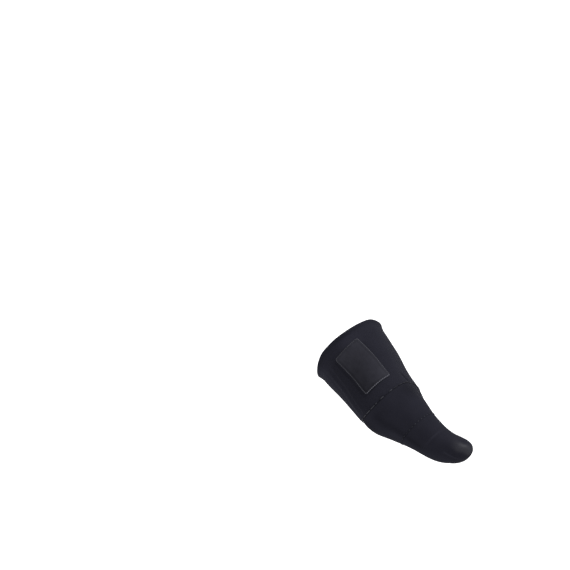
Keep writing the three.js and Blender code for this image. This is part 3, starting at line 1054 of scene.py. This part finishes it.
def to_outline(u, v):
    """Distance in from the patch's rounded outline."""
    past_u = np.abs(u) - PATCH_LENGTH / 2 + PATCH_CORNER
    past_v = np.abs(v) - PATCH_WIDTH / 2 + PATCH_CORNER
    corner = np.hypot(np.maximum(past_u, 0), np.maximum(past_v, 0))
    return PATCH_CORNER - corner - np.minimum(np.maximum(past_u, past_v), 0)


patch_v = (steps(PATCH_WIDTH, PATCH_ROWS, PATCH_TURNED)[1:-1] - 0.5) * PATCH_WIDTH
patch_past = np.maximum(np.abs(patch_v) - PATCH_WIDTH / 2 + PATCH_CORNER, 0)
patch_reach = PATCH_LENGTH / 2 - PATCH_CORNER + np.sqrt(PATCH_CORNER ** 2 - patch_past ** 2)
patch_u = (steps(PATCH_LENGTH, PATCH_COLUMNS, PATCH_TURNED).T * 2 - 1) * patch_reach
patch_v = np.broadcast_to(patch_v, patch_u.shape)
patch_inset = to_outline(patch_u, patch_v)
patch_middle = FABRIC + GAP + PATCH_THICK / 2
patch_half = PATCH_THICK / 2 * turned_edge(patch_inset, PATCH_THICK)
patch_face = patch_point(patch_u, patch_v, patch_middle + patch_half)
patch_back = patch_point(patch_u, patch_v, patch_middle - patch_half)
patch_rows = np.concatenate([patch_face, patch_back[:, -2:0:-1]], axis=1)
patch_sides = np.array([-PATCH_WIDTH / 2, PATCH_WIDTH / 2])
patch_ends = list(patch_point(np.zeros(2), patch_sides, patch_middle))
patch_along, patch_up = patch_u / PATCH_LENGTH, patch_v / PATCH_WIDTH
# Painted light and shade on the label patch, and painted shade in the groove inside the border.
patch_painted_shading = PATCH_PAINTED_LIGHT_TOP * patch_up - PATCH_PAINTED_LIGHT_REAR * patch_along
patch_painted_shading = patch_painted_shading + PATCH_PAINTED_LIGHT_CORNER * patch_along * (patch_along + patch_up)
patch_painted_shading = patch_painted_shading - GROOVE_PAINTED_SHADE * hump(patch_inset - GROOVE_INSET, GROOVE_WIDTH)
patch = cloth("label_patch_cloth", patch_rows, ends=patch_ends, marks={
    "wear_and_shade": np.concatenate([patch_painted_shading, patch_painted_shading[:, -2:0:-1]], axis=1),
})


def tape(piece, name, dark, light, ends, picks):
    """Close-woven tape: fine slanting ribs of a twill, a slightly uneven dye, and painted light and shade.
    """
    shader, start = new_material(piece, name)
    flat = start.node("ShaderNodeUVMap", {"uv_map": "OFBake"}, {})
    along = flat.node("ShaderNodeSeparateXYZ", {}, {0: flat}, 0) * ends
    across = flat.node("ShaderNodeSeparateXYZ", {}, {0: flat}, 1) * picks
    rib = 0.5 + 0.5 * along.sum("SINE", (along + across) * (2 * math.pi))
    pick = 0.5 + 0.5 * across.sum("SINE", across * (4 * math.pi))
    place = start.node("ShaderNodeTexCoord", {}, {}, "Object")
    dye = start.node("ShaderNodeTexNoise", {}, {
        "Vector": place, "Scale": TAPE_DYE_SCALE, "Detail": 5.0, "Roughness": 0.65,
    })
    height = rib * TAPE_RIB + pick * (1 - TAPE_RIB)
    wear_and_shade = start.node("ShaderNodeAttribute", {"attribute_name": "wear_and_shade"}, {}, "Fac")
    tone = TAPE_TONE + TAPE_DYE * dye + TAPE_WEAVE * (height - 0.5)
    colour = (tone + wear_and_shade).mix(dark, light)
    bumped = start.node("ShaderNodeBump", {}, {
        "Strength": TAPE_BUMP, "Distance": TAPE_BUMP_HEIGHT * METRES, "Height": height,
    })
    colour.feed(shader, "Base Color")
    (TAPE_ROUGHNESS + TAPE_DYE_ROUGHNESS * dye).feed(shader, "Roughness")
    bumped.feed(shader, "Normal")
    shader.inputs["Specular IOR Level"].default_value = TAPE_GLOSS


tape(patch, "patch_tape", dark=(0.008, 0.008, 0.0108), light=(0.022, 0.022, 0.0288), ends=120, picks=34)
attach(patch, "root")
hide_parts("label_patch")

corner_turn = np.radians(np.arange(0, 91, 10))
corners = []
for quarter, (side_u, side_v) in enumerate(((1, 1), (-1, 1), (-1, -1), (1, -1))):
    turn = corner_turn + quarter * math.pi / 2
    corner_u = side_u * (PATCH_LENGTH / 2 - PATCH_CORNER) + (PATCH_CORNER - BORDER_INSET) * np.cos(turn)
    corner_v = side_v * (PATCH_WIDTH / 2 - PATCH_CORNER) + (PATCH_CORNER - BORDER_INSET) * np.sin(turn)
    corners.append(np.stack([corner_u, corner_v], -1))
border_line = np.concatenate([*corners, corners[0][:1]])
border_flat = walked(border_line)
border_at = np.linspace(0, border_flat[-1], BORDER_POINTS)
border_u = np.interp(border_at, border_flat, border_line[:, 0])
border_v = np.interp(border_at, border_flat, border_line[:, 1])
border_x, border_angle = patch_place(border_u, border_v)[:2]
border_path = patch_point(border_u, border_v, np.full(border_u.shape, FABRIC + GAP + PATCH_THICK))
border_tone = BORDER_TONE + BORDER_TOP_PALER * (border_v > BORDER_TOP_FROM * PATCH_WIDTH)
border_tone = border_tone + BORDER_FRONT_PALER * (border_u > BORDER_FRONT_FROM * PATCH_LENGTH)
border_far = walked(border_path)
border_places = np.arange(BORDER_PITCH / 2, border_far[-1], BORDER_PITCH)
border_count = len(border_places)
border = stitches(
    "label_border_thread", border_path, normal_of(foot_skin, border_x, border_angle), border_places,
    np.full(border_count, BORDER_STITCH), np.full(border_count, BORDER_WIDTH),
    np.interp(border_places, border_far, border_tone),
)
thread(border, "border_thread", dark=(0.019, 0.019, 0.023), light=(0.085, 0.085, 0.1))
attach(border, "root")


# Studio
# A wide pale floor well below the held-up sleeve, a broad soft light overhead and white surroundings.
# The camera looks at the big-toe side from a little above, rolled so that the toe points down to the right.
FLOOR_DROP = 320
FLOOR_REACH = 60000
FLOOR_CORNERS = ((-1, -1), (1, -1), (1, 1), (-1, 1))
FLOOR_GREY = (0.75, 0.75, 0.75, 1)
FLOOR_ROUGHNESS = 0.9
SOFTBOX_ENERGY = 3.5
SOFTBOX_SPREAD = math.radians(40)
SOFTBOX_AIM = Vector((-0.1, 0.02, -1))
VIEW_YAW = math.radians(20)
VIEW_RISE = math.radians(12)
VIEW_ROLL = math.radians(36)
VIEW_DISTANCE = 1600
VIEW_END = 200000
PICTURE = 570
PIXEL = 0.72
AIM = Vector((52, -24, -8))
AIM_PIXEL = (387.5, 399)
SENSOR = 36

floor_points = [(x * FLOOR_REACH, y * FLOOR_REACH, -FLOOR_DROP) for x, y in FLOOR_CORNERS]
floor = new_piece("floor", floor_points, [(0, 1, 2, 3)])
floor_shader = new_material(floor, "floor_paint")[0]
floor_shader.inputs["Base Color"].default_value = FLOOR_GREY
floor_shader.inputs["Roughness"].default_value = FLOOR_ROUGHNESS
floor_shader.inputs["Specular IOR Level"].default_value = 0

world = bpy.data.worlds.new("surroundings")
world.use_nodes = True
world.node_tree.nodes["Background"].inputs["Color"].default_value = (1, 1, 1, 1)
world.node_tree.nodes["Background"].inputs["Strength"].default_value = 1.0
bpy.context.scene.world = world
bpy.context.scene.view_settings.view_transform = "Standard"

softbox_light = bpy.data.lights.new("softbox", "SUN")
softbox_light.angle = SOFTBOX_SPREAD
softbox_light.energy = SOFTBOX_ENERGY
softbox = bpy.data.objects.new("softbox", softbox_light)
softbox.rotation_euler = SOFTBOX_AIM.to_track_quat("-Z", "Y").to_euler()
bpy.context.scene.collection.objects.link(softbox)

back = Vector((
    math.sin(VIEW_YAW) * math.cos(VIEW_RISE),
    -math.cos(VIEW_YAW) * math.cos(VIEW_RISE),
    math.sin(VIEW_RISE),
))
level_right = Vector((math.cos(VIEW_YAW), math.sin(VIEW_YAW), 0))
level_up = back.cross(level_right)
right = level_right * math.cos(VIEW_ROLL) + level_up * math.sin(VIEW_ROLL)
up = level_up * math.cos(VIEW_ROLL) - level_right * math.sin(VIEW_ROLL)
camera_data = bpy.data.cameras.new("camera")
camera_data.sensor_width = SENSOR
camera_data.lens = SENSOR * VIEW_DISTANCE / (PICTURE * PIXEL)
camera_data.clip_end = VIEW_END * METRES
camera = bpy.data.objects.new("camera", camera_data)
aim_right = (AIM_PIXEL[0] - PICTURE / 2) * PIXEL
aim_up = (PICTURE / 2 - AIM_PIXEL[1]) * PIXEL
centre = AIM - right * aim_right - up * aim_up
camera.matrix_world = Matrix((right, up, back)).transposed().to_4x4()
camera.location = (centre + back * VIEW_DISTANCE) * METRES
bpy.context.scene.collection.objects.link(camera)
bpy.context.scene.camera = camera
